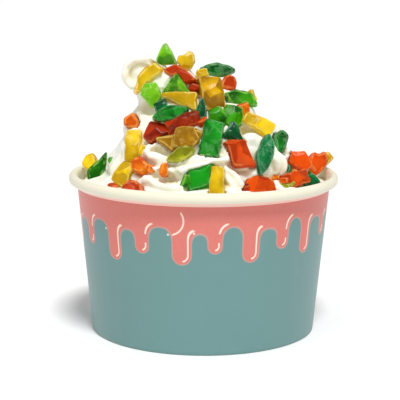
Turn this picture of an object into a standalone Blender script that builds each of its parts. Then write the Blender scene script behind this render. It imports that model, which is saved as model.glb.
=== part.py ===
"""A paper cup of soft serve ice cream, strewn with chopped fruit jellies.

Metres, +Z up. The origin is the centre of the circle that the cup stands on, and the front faces -Y.
"""

import math
import random
from collections import namedtuple

import bmesh
import bpy
from mathutils import Matrix, Vector, noise
from mathutils.bvhtree import BVHTree

MM = 0.001
GAP = 0.3 * MM  # left between pieces that touch
SEGMENTS = 48  # sides of every turned piece

# The cup: one sheet of coated paper, rolled outward at the rim and folded inward at the foot.
RIM_RADIUS = 48.5 * MM
CUP_HEIGHT = 57 * MM
RIM_ROLL_WIDTH = 3.1 * MM
RIM_ROLL_HEIGHT = 3.8 * MM
PAPER = 0.5 * MM
FOOT_RADIUS = 40.4 * MM
FOOT_FOLD_HEIGHT = 5.5 * MM
FOOT_FOLD_THICKNESS = 1.6 * MM
INNER_RIM_RADIUS = RIM_RADIUS - RIM_ROLL_WIDTH
WALL_TOP_RADIUS = INNER_RIM_RADIUS + PAPER
BASE_TOP = FOOT_FOLD_HEIGHT + GAP + PAPER

# The ice cream fills the cup to a pool just under the rim, and a rope of it climbs round above the pool.
POOL_LEVEL = CUP_HEIGHT - 4 * MM
POOL_CROWN = 6 * MM
FILL_TOP = POOL_LEVEL - 3 * MM
SWIRL_LEAN = -0.25  # sideways for each unit of height above the rim
SWIRL_STEP_ANGLE = 12
# Angle reached, the centre line's height above the rim and distance from the axis, and the rope's own radius.
SWIRL_STAGES = (
    (60, -3 * MM, 22.0 * MM, 12.0 * MM),
    (180, 1 * MM, 22.0 * MM, 12.5 * MM),
    (360, 7 * MM, 20.0 * MM, 12.0 * MM),
    (540, 13 * MM, 14.5 * MM, 11.2 * MM),
    (720, 19.5 * MM, 13.0 * MM, 10.2 * MM),
    (900, 27 * MM, 7.0 * MM, 9.6 * MM),
    (1020, 32 * MM, 2.5 * MM, 7.4 * MM),
)
FLUTES = 7
FLUTE_DEPTH = 0.05  # of the rope's radius
FLUTE_TWIST = 0.8  # radians for each turn of the rope
CORE_HEIGHT = 30 * MM
CORE_RADIUS = 13 * MM

# The rope's end folds over to the left and curls in on itself.
CURL_CENTRE = Vector((-22.4 * MM, -6 * MM, CUP_HEIGHT + 35.2 * MM))
CURL_START_ANGLE = -75
CURL_END_ANGLE = 390
CURL_LOOP_RADIUS = (8.5 * MM, 4.4 * MM, 3.9 * MM, 3.2 * MM, 1.2 * MM)
CURL_ROPE_RADIUS = (7.0 * MM, 3.3 * MM, 2.6 * MM, 2.3 * MM, 1.8 * MM)
CURL_DRIFT = 4 * MM  # away from the front, from its start to its end

CREAM_VOXEL = 1.1 * MM
CREAM_SMOOTHING = 4
CREAM_WAVE = 0.7 * MM
CREAM_WAVE_LENGTH = 11 * MM
CREAM_FACES = 4000

# Where the photograph was taken from, as its frame of 400 by 400 pixels shows the cup.
EYE_DISTANCE = 459.1 * MM
EYE_HEIGHT = 128.4 * MM
EYE_PITCH = math.radians(10.12)
EYE_ROLL = math.radians(0.33)
FOCAL_PIXELS = 1284.4
PHOTO_CENTRE_X = 203.4
PHOTO_CENTRE_Y = 200.0

# Folds of cream that lie on the swirl: the radius of each, and the points of the photograph it passes.
Fold = namedtuple("Fold", "radius photo_points")
FOLDS = (
    Fold(2.6 * MM, ((200, 150), (172, 146), (152, 147), (147, 153), (160, 158), (196, 155))),
    Fold(3.4 * MM, ((150, 165), (172, 164), (196, 163), (222, 158), (238, 150))),
    Fold(4.6 * MM, ((132, 186), (146, 180), (160, 183), (184, 190))),
    Fold(3.6 * MM, ((176, 172), (184, 180), (192, 190))),
    Fold(3.4 * MM, ((228, 130), (244, 127), (258, 134), (262, 143))),
    Fold(3.6 * MM, ((268, 150), (279, 157), (281, 168), (272, 178))),
    Fold(3.4 * MM, ((284, 148), (292, 160), (290, 174))),
    Fold(4.0 * MM, ((232, 150), (228, 166), (234, 184))),
)

# Chopped jellies. length and width are as the photograph shows them, turn is clockwise from upright,
# in degrees, thickness runs in the direction of sight, lean (0 to 1) tips a piece's face from the
# viewer to the slope that it lies on, and lift raises it off that slope.
Jelly = namedtuple(
    "Jelly",
    "colour kind photo_x photo_y length width turn thickness taper skew lean lift eye_turn",
    defaults=(5.0 * MM, 1.0, 0.0, 0.4, 0.0, 0.0),
)
UNDER = -1.5 * MM  # the lift of a piece that others lie on
OVER = 3 * MM  # the lift of a piece that leans out over a hollow of the cream
JELLIES = (
    Jelly("yellow", "chunk", 86, 169, 6.5 * MM, 5.0 * MM, 20, 3.5 * MM, lift=UNDER),
    Jelly("yellow", "bar", 331, 171, 8.4 * MM, 3.8 * MM, 50, 2.8 * MM, lean=0.1, lift=4 * UNDER),
    Jelly("yellow", "heart", 187, 62, 6.6 * MM, 6.6 * MM, -20, 4.0 * MM, lean=0.1),
    Jelly("green", "wedge", 167, 54.5, 7.6 * MM, 8.0 * MM, 2, 5.0 * MM, skew=-0.1, lean=0.1),
    Jelly("yellow", "bar", 145.5, 78, 13.0 * MM, 4.0 * MM, 43, 4.0 * MM, taper=1.4, lean=0.1),
    Jelly("red", "bar", 181, 74.5, 9.0 * MM, 4.4 * MM, 126, 4.5 * MM, taper=0.8, skew=0.3),
    Jelly("yellow", "chunk", 202, 76, 6.5 * MM, 5.4 * MM, 0, 4.0 * MM, lean=0.2, lift=UNDER),
    Jelly("red", "half", 228, 83.5, 5.4 * MM, 6.6 * MM, 20, 4.5 * MM, lean=0.3),
    Jelly("green", "leaf", 217, 70, 14.0 * MM, 5.4 * MM, 92, 3.6 * MM, lean=0.15, lift=UNDER / 2),
    Jelly("green", "chunk", 152, 93, 8.8 * MM, 7.6 * MM, 10, 4.0 * MM, lean=0.2, lift=UNDER),
    Jelly("green", "wedge", 176.5, 84.5, 7.4 * MM, 10.4 * MM, 0, 4.0 * MM, lean=0.3, lift=UNDER),
    Jelly("green", "bar", 239, 98, 10.6 * MM, 4.8 * MM, 94, 4.5 * MM, skew=-0.3, lean=0.3),
    Jelly("green", "chunk", 216, 118, 7.6 * MM, 7.0 * MM, 0, 4.0 * MM, lift=UNDER),
    Jelly("emerald", "wedge", 201, 108.5, 7.4 * MM, 5.4 * MM, 12, 3.6 * MM, lift=UNDER),
    Jelly("green", "chunk", 233, 115, 9.0 * MM, 8.6 * MM, 30, 4.0 * MM, lift=UNDER),
    Jelly("amber", "bar", 211, 95, 12.4 * MM, 8.2 * MM, -8, 6.5 * MM, 0.85, 0.15, 0.5, 2 * OVER),
    Jelly("yellow", "wedge", 179, 100, 13.2 * MM, 6.6 * MM, -82, 3.6 * MM, skew=0.15),
    Jelly("orange", "chunk", 133.5, 122, 6.2 * MM, 5.8 * MM, 0, 5.0 * MM, lean=0.2),
    Jelly("garnet", "bar", 182, 122.5, 12.8 * MM, 4.4 * MM, 70, 3.6 * MM, lift=UNDER),
    Jelly("garnet", "chunk", 155, 132, 9.4 * MM, 8.6 * MM, 90, 4.4 * MM, lift=UNDER),
    Jelly("green", "leaf", 170.5, 113, 14.0 * MM, 5.8 * MM, 74, 3.8 * MM),
    Jelly("amber", "wedge", 166, 142, 7.2 * MM, 5.6 * MM, -75, 4.0 * MM, lift=UNDER),
    Jelly("amber", "chunk", 185.5, 140, 9.2 * MM, 9.2 * MM, 0, 4.4 * MM),
    Jelly("olive", "leaf", 180.5, 154.5, 11.0 * MM, 4.4 * MM, 66, 3.6 * MM),
    Jelly("yellow", "bar", 258.5, 124, 11.2 * MM, 3.4 * MM, 119, 4.0 * MM, taper=1.5),
    Jelly("emerald", "wedge", 237, 133, 5.6 * MM, 8.4 * MM, 24, 4.5 * MM, skew=-0.3),
    Jelly("green", "bar", 211.5, 139, 12.8 * MM, 6.8 * MM, 10, 5.0 * MM, lean=0.3),
    Jelly("red", "bar", 240, 154, 9.6 * MM, 7.0 * MM, -22, 5.0 * MM, skew=0.3),
    Jelly("green", "chunk", 280, 143, 8.2 * MM, 5.8 * MM, -14, 4.5 * MM, lean=0.2),
    Jelly("emerald", "leaf", 264.5, 154, 14.8 * MM, 6.6 * MM, 11, 5.0 * MM, lean=0.25),
    Jelly("yellow", "bar", 133, 148, 12.4 * MM, 5.2 * MM, 2, 4.8 * MM, lean=0.2),
    Jelly("yellow", "bar", 124, 174, 8.4 * MM, 6.4 * MM, 24, 4.5 * MM, taper=0.6),
    Jelly("orange", "chunk", 141, 166, 6.0 * MM, 7.2 * MM, 0, 4.5 * MM),
    Jelly("green", "spike", 98, 168, 14.4 * MM, 6.4 * MM, 22, 4.5 * MM, lean=0.1, lift=OVER),
    Jelly("red", "half", 133, 188, 5.0 * MM, 8.4 * MM, 6, 4.5 * MM),
    Jelly("red", "chunk", 300, 161.5, 7.2 * MM, 8.6 * MM, 20, 5.0 * MM, lean=0.2, lift=OVER / 2),
    Jelly("red", "heart", 320, 166.5, 9.4 * MM, 7.4 * MM, 4, 5.0 * MM, lean=0.1, lift=OVER),
    Jelly("red", "bar", 294, 180, 10.4 * MM, 5.0 * MM, 74, 4.5 * MM),
    Jelly("emerald", "chunk", 310, 183, 5.0 * MM, 6.8 * MM, 0, 4.0 * MM),
    Jelly("red", "half", 260, 185, 6.0 * MM, 12.4 * MM, 6, 5.0 * MM, lean=0.3),
    Jelly("green", "bar", 201, 177.5, 7.0 * MM, 8.4 * MM, 0, 5.0 * MM, taper=0.95, skew=-0.35, lean=0.3),
    Jelly("yellow", "bar", 217, 182, 10.4 * MM, 5.5 * MM, 2, 4.5 * MM, taper=0.72, lean=0.2),
)

# Small chips stick to the cream and belong to it.
CHIPS = (
    Jelly("emerald", "chunk", 161, 107, 4.6 * MM, 4.2 * MM, 0, 3.0 * MM),
    Jelly("garnet", "chunk", 194.5, 89, 4.0 * MM, 3.6 * MM, 40, 3.0 * MM),
    Jelly("orange", "chunk", 244, 109.5, 3.6 * MM, 3.4 * MM, 0, 3.0 * MM),
    Jelly("yellow", "chunk", 250.5, 97, 4.0 * MM, 3.4 * MM, 30, 3.0 * MM),
    Jelly("orange", "chunk", 164, 170, 4.0 * MM, 2.8 * MM, 25, 3.0 * MM),
    Jelly("olive", "chunk", 299, 171, 3.4 * MM, 6.0 * MM, 0, 3.0 * MM),
    Jelly("garnet", "chunk", 242, 190, 3.4 * MM, 5.0 * MM, 0, 3.0 * MM),
)

# The side that the photograph doesn't show is strewn by a rule: rows of pieces at the photograph's
# height photo_y, spread evenly to half_turn degrees either side of the back.
BackRow = namedtuple("BackRow", "photo_y half_turn")
BACK_ROWS = (BackRow(177, 72), BackRow(142, 56), BackRow(108, 24))
BACK_PIECES_IN_ROW = 5
BACK_ROW_SCATTER = 5
BACK_SIDE_SCATTER = 14
BACK_LEAN = 0.8
BACK_SEED = 11
BACK_COLOURS = ("green", "red", "yellow", "emerald", "orange", "yellow", "garnet")
BACK_KINDS = ("bar", "wedge", "leaf", "chunk", "half")

LAYER_STEP = 1.5 * MM  # how much nearer to the eye a piece lies than the pieces that it covers
MOST_LAYERS = 3
CLEARING_STEP = 0.3 * MM
MOST_CLEARING_STEPS = 40
SUNK_SHARE = 0.45  # of its thickness, how deep a piece sits in the cream
SLOPE_UP = 0.8  # the cream's slope faces this far up for each unit outward
FACE_SHARE = 0.92  # a piece's front face against its back
EDGE_BEVEL = 0.4 * MM

COLOURS = {
    "paper": ((0.93, 0.91, 0.80), 0.45),
    "print": ((0.19, 0.36, 0.36), 0.4),
    "cream": ((0.95, 0.91, 0.74), 0.4),
    "green": ((0.05, 0.28, 0.02), 0.25),
    "emerald": ((0.01, 0.12, 0.06), 0.25),
    "yellow": ((0.72, 0.45, 0.03), 0.25),
    "amber": ((0.55, 0.28, 0.01), 0.25),
    "orange": ((0.78, 0.20, 0.01), 0.25),
    "red": ((0.66, 0.08, 0.01), 0.25),
    "garnet": ((0.30, 0.02, 0.01), 0.25),
    "olive": ((0.35, 0.38, 0.03), 0.25),
}


def material(name):
    """The Principled material of one colour, made on first use."""
    found = bpy.data.materials.get(name)
    if found:
        return found
    colour, roughness = COLOURS[name]
    made = bpy.data.materials.new(name)
    made.use_nodes = True
    shader = made.node_tree.nodes["Principled BSDF"]
    shader.inputs["Base Color"].default_value = (*colour, 1)
    shader.inputs["Roughness"].default_value = roughness
    shader.inputs["Metallic"].default_value = 0
    return made


def add_object(name, bm, colour):
    """A named object from a bmesh, which is freed."""
    mesh = bpy.data.meshes.new(name)
    bm.to_mesh(mesh)
    bm.free()
    mesh.materials.append(material(colour))
    obj = bpy.data.objects.new(name, mesh)
    bpy.context.scene.collection.objects.link(obj)
    return obj


def apply_modifiers(obj):
    """Replace an object's mesh with what its modifiers make of it."""
    graph = bpy.context.evaluated_depsgraph_get()
    mesh = bpy.data.meshes.new_from_object(obj.evaluated_get(graph), depsgraph=graph)
    obj.modifiers.clear()
    obj.data = mesh


def between(stops, place):
    """The row of values that belongs to place, from rows that start with their own place."""
    for low, high in zip(stops, stops[1:]):
        if place <= high[0]:
            share = (place - low[0]) / (high[0] - low[0])
            return [a + (b - a) * share for a, b in zip(low[1:], high[1:])]
    return list(stops[-1][1:])


def boolean(obj, operation, name, meshes):
    """Join bmeshes to an object, or cut them from it."""
    group = bpy.data.collections.new(name)
    bpy.context.scene.collection.children.link(group)
    for bm in meshes:
        cutter = add_object(name, bm, "cream")
        bpy.context.scene.collection.objects.unlink(cutter)
        cutter.hide_render = True
        cutter.display_type = "WIRE"
        group.objects.link(cutter)
    step = obj.modifiers.new(name, "BOOLEAN")
    step.operation = operation
    step.operand_type = "COLLECTION"
    step.collection = group
    step.solver = "EXACT"
    apply_modifiers(obj)
    for cutter in list(group.objects):
        bpy.data.objects.remove(cutter)
    bpy.data.collections.remove(group)


def keep_largest_body(obj):
    """Drop the loose scraps that a cut leaves."""
    bm = bmesh.new()
    bm.from_mesh(obj.data)
    unseen = set(bm.verts)
    bodies = []
    while unseen:
        body, edge = set(), [unseen.pop()]
        while edge:
            vert = edge.pop()
            body.add(vert)
            near = {link.other_vert(vert) for link in vert.link_edges} & unseen
            unseen -= near
            edge.extend(near)
        bodies.append(body)
    bodies.sort(key=len)
    scraps = [vert for body in bodies[:-1] for vert in body]
    bmesh.ops.delete(bm, geom=scraps, context="VERTS")
    bm.to_mesh(obj.data)
    bm.free()


# ---- the cup ----

def inner_radius(height):
    """Inside of the cup's wall at a height."""
    slope = (WALL_TOP_RADIUS - FOOT_RADIUS) / CUP_HEIGHT
    return FOOT_RADIUS - PAPER + slope * height


def rim_roll(first, last, steps):
    """Points round the rolled rim, by angle from its outermost point."""
    centre_radius = RIM_RADIUS - RIM_ROLL_WIDTH / 2
    centre_height = CUP_HEIGHT - RIM_ROLL_HEIGHT / 2
    for step in range(steps + 1):
        angle = math.radians(first + (last - first) * step / steps)
        radius = centre_radius + RIM_ROLL_WIDTH / 2 * math.cos(angle)
        height = centre_height + RIM_ROLL_HEIGHT / 2 * math.sin(angle)
        yield radius, height


def turned(name, profile, colour):
    """A closed profile of (radius, height) spun round the axis."""
    bm = bmesh.new()
    corners = [bm.verts.new((radius, 0, height)) for radius, height in profile]
    for start, end in zip(corners, corners[1:] + corners[:1]):
        bm.edges.new((start, end))
    bmesh.ops.spin(
        bm, geom=bm.verts[:] + bm.edges[:], cent=(0, 0, 0), axis=(0, 0, 1),
        angle=2 * math.pi, steps=SEGMENTS, use_merge=True,
    )
    bmesh.ops.recalc_face_normals(bm, faces=bm.faces)
    return add_object(name, bm, colour)


def disc(bottom, top, clearance):
    """A plug of the cup's inside between two heights, clear of the wall."""
    bm = bmesh.new()
    middle = Matrix.Translation((0, 0, (bottom + top) / 2))
    bmesh.ops.create_cone(
        bm, cap_ends=True, segments=SEGMENTS, matrix=middle, depth=top - bottom,
        radius1=inner_radius(bottom) - clearance, radius2=inner_radius(top) - clearance,
    )
    return bm


def make_cup():
    """The side wall with its rolled rim and folded foot, and the base that sits on the fold."""
    roll = list(rim_roll(-110, 180, 10))
    fold_radius = inner_radius(0) + PAPER - FOOT_FOLD_THICKNESS
    profile = [(fold_radius, 0), (FOOT_RADIUS, 0), *roll]
    profile.append((inner_radius(CUP_HEIGHT - RIM_ROLL_HEIGHT), CUP_HEIGHT - RIM_ROLL_HEIGHT))
    profile.append((inner_radius(FOOT_FOLD_HEIGHT), FOOT_FOLD_HEIGHT))
    profile.append((fold_radius, FOOT_FOLD_HEIGHT))
    wall = turned("cup_wall", profile, "print")
    base = disc(FOOT_FOLD_HEIGHT + GAP, BASE_TOP, GAP)
    add_object("cup_base", base, "paper")
    return wall


# ---- the ice cream ----

def rope(points, radii, closed_profile):
    """A tube along points whose radius follows radii, as a mesh object."""
    curve = bpy.data.curves.new("rope", "CURVE")
    curve.dimensions = "3D"
    curve.bevel_mode = "OBJECT"
    curve.bevel_object = closed_profile
    curve.use_fill_caps = True
    curve.twist_mode = "MINIMUM"
    spline = curve.splines.new("POLY")
    spline.points.add(len(points) - 1)
    for index, (point, radius) in enumerate(zip(points, radii)):
        spline.points[index].co = (*point, 1)
        spline.points[index].radius = radius
        spline.points[index].tilt = FLUTE_TWIST * index * math.radians(SWIRL_STEP_ANGLE)
    source = bpy.data.objects.new("rope", curve)
    bpy.context.scene.collection.objects.link(source)
    graph = bpy.context.evaluated_depsgraph_get()
    mesh = bpy.data.meshes.new_from_object(source.evaluated_get(graph))
    bpy.data.objects.remove(source)
    obj = bpy.data.objects.new("rope", mesh)
    bpy.context.scene.collection.objects.link(obj)
    return obj


def fluted_profile():
    """The nozzle's outline, of radius 1."""
    curve = bpy.data.curves.new("nozzle", "CURVE")
    spline = curve.splines.new("POLY")
    count = FLUTES * 6
    spline.points.add(count - 1)
    for index in range(count):
        angle = 2 * math.pi * index / count
        radius = 1 + FLUTE_DEPTH * math.cos(FLUTES * angle)
        spline.points[index].co = (radius * math.cos(angle), radius * math.sin(angle), 0, 1)
    spline.use_cyclic_u = True
    obj = bpy.data.objects.new("nozzle", curve)
    obj.hide_render = True
    obj.display_type = "WIRE"
    bpy.context.scene.collection.objects.link(obj)
    return obj


def swirl_path():
    """The main rope's centre line and radii, climbing round the axis."""
    points, radii = [], []
    for angle in range(SWIRL_STAGES[0][0], SWIRL_STAGES[-1][0] + 1, SWIRL_STEP_ANGLE):
        climbed, ring, radius = between(SWIRL_STAGES, angle)
        aside = SWIRL_LEAN * max(0, climbed)
        turn = math.radians(angle)
        across, deep = ring * math.cos(turn), ring * math.sin(turn)
        points.append(Vector((aside + across, deep, CUP_HEIGHT + climbed)))
        radii.append(radius)
    return points, radii


def curl_path():
    """The rope's end, winding in round a point at the upper left."""
    points, radii = [], []
    steps = 30
    last = len(CURL_LOOP_RADIUS) - 1
    loops = [(i / last, a, b) for i, (a, b) in enumerate(zip(CURL_LOOP_RADIUS, CURL_ROPE_RADIUS))]
    for step in range(steps + 1):
        share = step / steps
        loop, radius = between(loops, share)
        turn = math.radians(CURL_START_ANGLE + (CURL_END_ANGLE - CURL_START_ANGLE) * share)
        offset = Vector((loop * math.cos(turn), CURL_DRIFT * share, loop * math.sin(turn)))
        points.append(CURL_CENTRE + offset)
        radii.append(radius)
    return points, radii


def pool():
    """The cream's level surface inside the cup, crowned towards the middle."""
    edge = inner_radius(POOL_LEVEL) - 2 * GAP
    foot = FILL_TOP - 3 * MM
    inner = inner_radius(foot) - 3 * GAP
    axis = 0.1 * MM
    crown = POOL_LEVEL + POOL_CROWN
    profile = [(axis, foot), (inner, foot), (edge, POOL_LEVEL), (edge * 0.9, POOL_LEVEL + POOL_CROWN / 3)]
    profile += [(edge * 0.75, POOL_LEVEL + POOL_CROWN * 0.7), (axis, crown)]
    return turned("pool", profile, "cream")


def core():
    """The cream inside the swirl."""
    bm = bmesh.new()
    middle = Vector((SWIRL_LEAN * CORE_HEIGHT / 2, 0, CUP_HEIGHT + CORE_HEIGHT / 2))
    bmesh.ops.create_cone(
        bm, cap_ends=True, segments=24, matrix=Matrix.Translation(middle), depth=CORE_HEIGHT,
        radius1=CORE_RADIUS, radius2=CORE_RADIUS / 3,
    )
    return add_object("core", bm, "cream")


def joined(name, objects):
    """One object with the meshes of several, which are removed."""
    bm = bmesh.new()
    for obj in objects:
        bm.from_mesh(obj.data)
        bpy.data.objects.remove(obj)
    return add_object(name, bm, "cream")


def melted_together(obj):
    """Overlapping shapes made one smooth skin."""
    remesh = obj.modifiers.new("skin", "REMESH")
    remesh.mode = "VOXEL"
    remesh.voxel_size = CREAM_VOXEL
    smooth = obj.modifiers.new("soften", "SMOOTH")
    smooth.iterations = CREAM_SMOOTHING
    apply_modifiers(obj)


def sight_line(photo_x, photo_y, eye_turn=0):
    """The eye, and the direction from it through a point of the photograph.

    eye_turn walks the eye round the cup, in degrees.
    """
    across = photo_x - PHOTO_CENTRE_X
    down = photo_y - PHOTO_CENTRE_Y
    level_across = across * math.cos(EYE_ROLL) + down * math.sin(EYE_ROLL)
    level_down = down * math.cos(EYE_ROLL) - across * math.sin(EYE_ROLL)
    forward = Vector((0, math.cos(EYE_PITCH), -math.sin(EYE_PITCH)))
    up = Vector((0, math.sin(EYE_PITCH), math.cos(EYE_PITCH)))
    direction = forward * FOCAL_PIXELS + Vector((level_across, 0, 0)) - up * level_down
    walk = Matrix.Rotation(math.radians(eye_turn), 3, "Z")
    eye = Vector((0, -EYE_DISTANCE, EYE_HEIGHT))
    return walk @ eye, (walk @ direction).normalized()


def seen_on(surface, eye, line):
    """Where a sight line meets the surface, or passes nearest to it."""
    hit = surface.ray_cast(eye, line)[0]
    if hit:
        return hit
    reaches = [EYE_DISTANCE + step * MM for step in range(-60, 61)]
    return min((eye + line * reach for reach in reaches), key=lambda at: surface.find_nearest(at)[3])


def tree_of(obj):
    return BVHTree.FromPolygons(
        [vert.co.copy() for vert in obj.data.vertices],
        [tuple(face.vertices) for face in obj.data.polygons],
    )


def make_folds(surface, profile):
    """Ropes laid on the swirl where the photograph shows them."""
    made = []
    for fold in FOLDS:
        stops = []
        for index, (photo_x, photo_y) in enumerate(fold.photo_points):
            place = seen_on(surface, *sight_line(photo_x, photo_y))
            stops.append((index, *place))
        count = 4 * (len(stops) - 1)
        points = [Vector(between(stops, step / 4)) for step in range(count + 1)]
        ends = [min(1, 0.55 + 0.2 * min(step, count - step)) for step in range(count + 1)]
        made.append(rope(points, [fold.radius * end for end in ends], profile))
    return made


def make_mound():
    """All the cream above the cup's filling, without the jellies' beds."""
    profile = fluted_profile()
    swirl = rope(*swirl_path(), profile)
    curl = rope(*curl_path(), profile)
    mound = joined("mound", [swirl, curl, pool(), core()])
    melted_together(mound)
    folds = make_folds(tree_of(mound), profile)
    mound = joined("mound", [mound, *folds])
    melted_together(mound)
    bpy.data.objects.remove(profile)
    for vert in mound.data.vertices:
        wave = noise.noise(vert.co / CREAM_WAVE_LENGTH)
        above = min(1, max(0, (vert.co.z - POOL_LEVEL) / (3 * MM)))
        vert.co += vert.normal * wave * CREAM_WAVE * above
        limit = inner_radius(min(vert.co.z, CUP_HEIGHT)) - 2 * GAP
        if vert.co.z > CUP_HEIGHT - RIM_ROLL_HEIGHT:
            limit = INNER_RIM_RADIUS - 2 * GAP
        reach = math.hypot(vert.co.x, vert.co.y)
        if reach > limit:
            vert.co.x *= limit / reach
            vert.co.y *= limit / reach
    decimate = mound.modifiers.new("fewer faces", "DECIMATE")
    decimate.ratio = min(1, CREAM_FACES / (2 * len(mound.data.polygons)))
    apply_modifiers(mound)
    return mound


# ---- the jellies ----

def outline(kind, taper, skew, draw):
    """Corners of a piece's face in units of its width and length, anticlockwise."""
    if kind == "wedge":
        return [(-0.5, -0.5), (0.5, -0.46), (skew + 0.07, 0.5), (skew - 0.07, 0.47)]
    if kind == "spike":
        return [(-0.1, -0.5), (0.5, -0.42), (0.42, 0.05), (0.12, 0.5), (-0.5, -0.2)]
    if kind == "bar":
        head = taper / 2
        slope = skew / 2
        return [(-0.5, slope - 0.5), (0.5, -slope - 0.5), (head, 0.5 - slope), (-head, 0.5 + slope)]
    if kind == "half":
        arc = [math.radians(10 + 32 * step) for step in range(6)]
        return [(-0.5, -0.5), (0.5, -0.5)] + [(math.cos(a) / 2, math.sin(a) - 0.5) for a in arc[:5]]
    if kind == "leaf":
        side = [(-0.5, 0), (-0.34, 0.17), (0, 0.3), (0.3, 0.2), (0.5, 0)]
        right = [(0.5 * 3.2 * w, l) for l, w in side]
        left = [(-0.5 * 3.2 * w * 0.9, l) for l, w in side[-2:0:-1]]
        return right + left
    if kind == "heart":
        right = [(0, -0.5), (0.42, -0.1), (0.5, 0.3), (0.28, 0.5), (0, 0.38)]
        return right + [(-0.26, 0.46), (-0.5, 0.2), (-0.4, -0.15)]
    corners = []
    for step in range(5):
        angle = 2 * math.pi * (step + draw.uniform(-0.25, 0.25)) / 5
        reach = draw.uniform(0.46, 0.62)
        corners.append((reach * math.cos(angle), reach * math.sin(angle)))
    return corners


def chopped(jelly, surface, draw):
    """A piece where the photograph shows it, as a bmesh, and the direction back to the eye."""
    eye, centre_line = sight_line(jelly.photo_x, jelly.photo_y, jelly.eye_turn)
    hit = seen_on(surface, eye, centre_line)
    outward = Vector((hit.x, hit.y, 0)).normalized() + Vector((0, 0, SLOPE_UP))
    face = (-centre_line * (1 - jelly.lean) + outward.normalized() * jelly.lean).normalized()
    hit += face * jelly.lift
    pixels = FOCAL_PIXELS / (hit - eye).length
    turn = math.radians(jelly.turn)
    back, front = [], []
    corners = outline(jelly.kind, jelly.taper, jelly.skew, draw)
    middle_across = sum(across for across, along in corners) / len(corners)
    middle_along = sum(along for across, along in corners) / len(corners)
    for scale, depth, loop in ((1, -SUNK_SHARE, back), (FACE_SHARE, 1 - SUNK_SHARE, front)):
        for across, along in corners:
            wide = (middle_across + (across - middle_across) * scale) * jelly.width * pixels
            tall = (middle_along + (along - middle_along) * scale) * jelly.length * pixels
            photo_x = jelly.photo_x + wide * math.cos(turn) + tall * math.sin(turn)
            photo_y = jelly.photo_y + wide * math.sin(turn) - tall * math.cos(turn)
            line = sight_line(photo_x, photo_y, jelly.eye_turn)[1]
            reach = (hit - eye).dot(face) / line.dot(face)
            loop.append(eye + line * reach + face * depth * jelly.thickness)
    bm = bmesh.new()
    back_corners = [bm.verts.new(point) for point in back]
    front_corners = [bm.verts.new(point) for point in front]
    bm.faces.new(back_corners)
    bm.faces.new(front_corners)
    count = len(corners)
    for index in range(count):
        after = (index + 1) % count
        bm.faces.new((back_corners[index], back_corners[after], front_corners[after], front_corners[index]))
    bmesh.ops.recalc_face_normals(bm, faces=bm.faces)
    return bm, -centre_line


def rub_edges(bm):
    """Take a piece's sharp edges off."""
    bmesh.ops.bevel(
        bm, geom=bm.edges[:], offset=EDGE_BEVEL, segments=1, profile=0.5,
        affect="EDGES", clamp_overlap=True,
    )
    bmesh.ops.triangulate(bm, faces=bm.faces)


def grown(bm, distance):
    """A copy of a piece with every face moved outward."""
    copy = bm.copy()
    copy.normal_update()
    shifts = [vert.normal * distance * vert.calc_shell_factor() for vert in copy.verts]
    for vert, shift in zip(copy.verts, shifts):
        vert.co += shift
    return copy


def raise_over(bm, towards_eye, placed):
    """Bring a piece towards the eye by one layer more than the pieces it covers, and return its layer."""
    tree = BVHTree.FromBMesh(bm)
    layers = [layer for other, layer in placed if tree.overlap(other)]
    layer = min(MOST_LAYERS, 1 + max(layers)) if layers else 0
    bmesh.ops.translate(bm, verts=bm.verts, vec=towards_eye * LAYER_STEP * layer)
    placed.append((tree, layer))


def clear_of_wall(bm, wall):
    """Move a piece inward and up until it is off the cup's wall."""
    for _ in range(MOST_CLEARING_STEPS):
        shell = grown(bm, GAP * 1.2)
        tree = BVHTree.FromBMesh(shell)
        shell.free()
        if not tree.overlap(wall):
            return
        middle = sum((vert.co for vert in bm.verts), Vector()) / len(bm.verts)
        inward = -Vector((middle.x, middle.y, 0)).normalized()
        bmesh.ops.translate(bm, verts=bm.verts, vec=(inward + Vector((0, 0, 1))) * CLEARING_STEP)


def back_jellies():
    """Pieces for the side that the photograph doesn't show."""
    draw = random.Random(BACK_SEED)
    for index in range(BACK_PIECES_IN_ROW * len(BACK_ROWS)):
        row = BACK_ROWS[index % len(BACK_ROWS)]
        share = (index // len(BACK_ROWS) + 0.5) / BACK_PIECES_IN_ROW
        yield Jelly(
            colour=BACK_COLOURS[index % len(BACK_COLOURS)],
            kind=BACK_KINDS[index % len(BACK_KINDS)],
            photo_x=PHOTO_CENTRE_X + draw.uniform(-1, 1) * BACK_SIDE_SCATTER,
            photo_y=row.photo_y + draw.uniform(-1, 1) * BACK_ROW_SCATTER,
            length=draw.uniform(8, 12) * MM,
            width=draw.uniform(5, 7) * MM,
            turn=draw.uniform(-90, 90),
            lean=BACK_LEAN,
            eye_turn=180 + row.half_turn * (2 * share - 1),
        )


def make_jellies(surface, wall):
    """All the jellies as objects, and the bmeshes of the beds that they leave in the cream.

    A piece that lies under later ones is cut to leave them room.
    """
    draw = random.Random(BACK_SEED)
    placed, shapes = [], []
    jellies = (*JELLIES, *back_jellies())
    for jelly in jellies:
        bm, towards_eye = chopped(jelly, surface, draw)
        raise_over(bm, towards_eye, placed)
        clear_of_wall(bm, wall)
        shapes.append(bm)
    trees = [BVHTree.FromBMesh(bm) for bm in shapes]
    beds = [grown(bm, GAP) for bm in shapes]
    count = {}
    for index, (jelly, bm) in enumerate(zip(jellies, shapes)):
        over = [beds[later] for later in range(index + 1, len(shapes)) if trees[index].overlap(trees[later])]
        rub_edges(bm)
        count[jelly.colour] = count.get(jelly.colour, 0) + 1
        piece = add_object(f"jelly_{jelly.colour}_{count[jelly.colour]:02d}", bm, jelly.colour)
        if over:
            boolean(piece, "DIFFERENCE", "room", [bed.copy() for bed in over])
            keep_largest_body(piece)
    return beds


# ---- the cup filled ----

for old in list(bpy.data.objects):
    bpy.data.objects.remove(old)

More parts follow.
